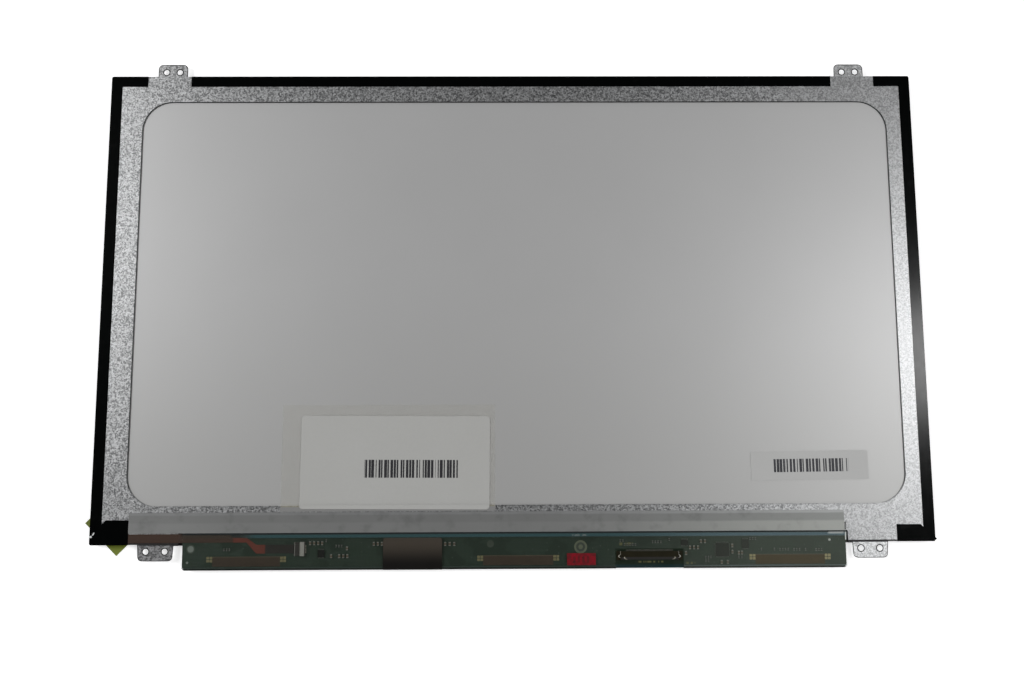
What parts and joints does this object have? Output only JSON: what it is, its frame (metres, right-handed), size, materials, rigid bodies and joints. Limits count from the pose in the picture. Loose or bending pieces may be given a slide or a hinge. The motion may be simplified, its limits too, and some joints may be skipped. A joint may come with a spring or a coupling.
{
  "type": "laptop screen panel",
  "caption": "Thin back-lit laptop display panel with a windowed steel back plate, taped edges, screw ears and a driver board along one long edge.",
  "frame": {"origin": "centre of the base of the whole panel, which lies screen down", "axes": "+X along the long side, +Y away from the edge with the circuit board, +Z out of the back"},
  "size_m": [0.363, 0.2236, 0.0033],
  "materials": {
    "steel": "spangled galvanised",
    "frame_plastic": "matte black",
    "reflector": "satin silver grey",
    "guide": "clear",
    "diffuser": "milky",
    "prism": "ribbed clear",
    "led": "white with a yellow face",
    "flex": "brown coated copper ribbon",
    "rim_tape": "matte black",
    "polariser": "dark anti-glare",
    "glass": "thin clear",
    "front_film": "clear protective",
    "tab": "olive green",
    "driver_film": "amber ribbon",
    "driver_chip": "bare silicon",
    "board": "dark green",
    "shell_steel": "tinned",
    "connector_black": "matte",
    "connector_white": "ivory",
    "contacts": "gold plated",
    "chip": "moulded black",
    "capacitor": "tan",
    "resistor": "black",
    "cover_film": "clear",
    "grey_tape": "frosted grey",
    "shield": "dark brown",
    "sticker": "red",
    "black_tape": "satin black",
    "clear_film": "faint yellow",
    "label": "white",
    "small_label": "grey"
  },
  "bodies": {
    "root": {"rear_plate": "steel", "mould_frame": "frame_plastic", "reflector_sheet": "reflector", "light_guide": "guide", "lower_diffuser": "diffuser", "upper_diffuser": "diffuser", "lower_prism_sheet": "prism", "upper_prism_sheet": "prism", "led_packages": "led", "led_flex": "flex", "rim_tape": "rim_tape", "rear_polariser": "polariser", "front_polariser": "polariser", "tft_glass": "glass", "colour_filter_glass": "glass", "front_film": "front_film", "pull_tab": "tab", "driver_film_1": "driver_film", "driver_film_2": "driver_film", "driver_film_3": "driver_film", "driver_chip_1": "driver_chip", "driver_chip_2": "driver_chip", "driver_chip_3": "driver_chip", "circuit_board": "board", "signal_connector_shell": "shell_steel", "signal_connector_housing": "connector_black", "led_connector_latch": "connector_black", "led_connector_housing": "connector_white", "signal_connector_contacts": "contacts", "led_connector_contacts": "contacts", "timing_controller": "chip", "led_driver_chip": "chip", "memory_chip": "chip", "power_chip": "chip", "capacitors": "capacitor", "resistors": "resistor", "board_film": "cover_film", "board_tape": "grey_tape", "shield_tape": "shield", "inspection_sticker": "sticker", "side_tape_left": "black_tape", "side_tape_right": "black_tape", "top_tape_left": "black_tape", "top_tape_middle": "black_tape", "top_tape_right": "black_tape", "corner_tape_left": "black_tape", "corner_tape_right": "black_tape", "clear_film": "clear_film", "main_label": "label", "small_label": "small_label"}
  },
  "joints": []
}
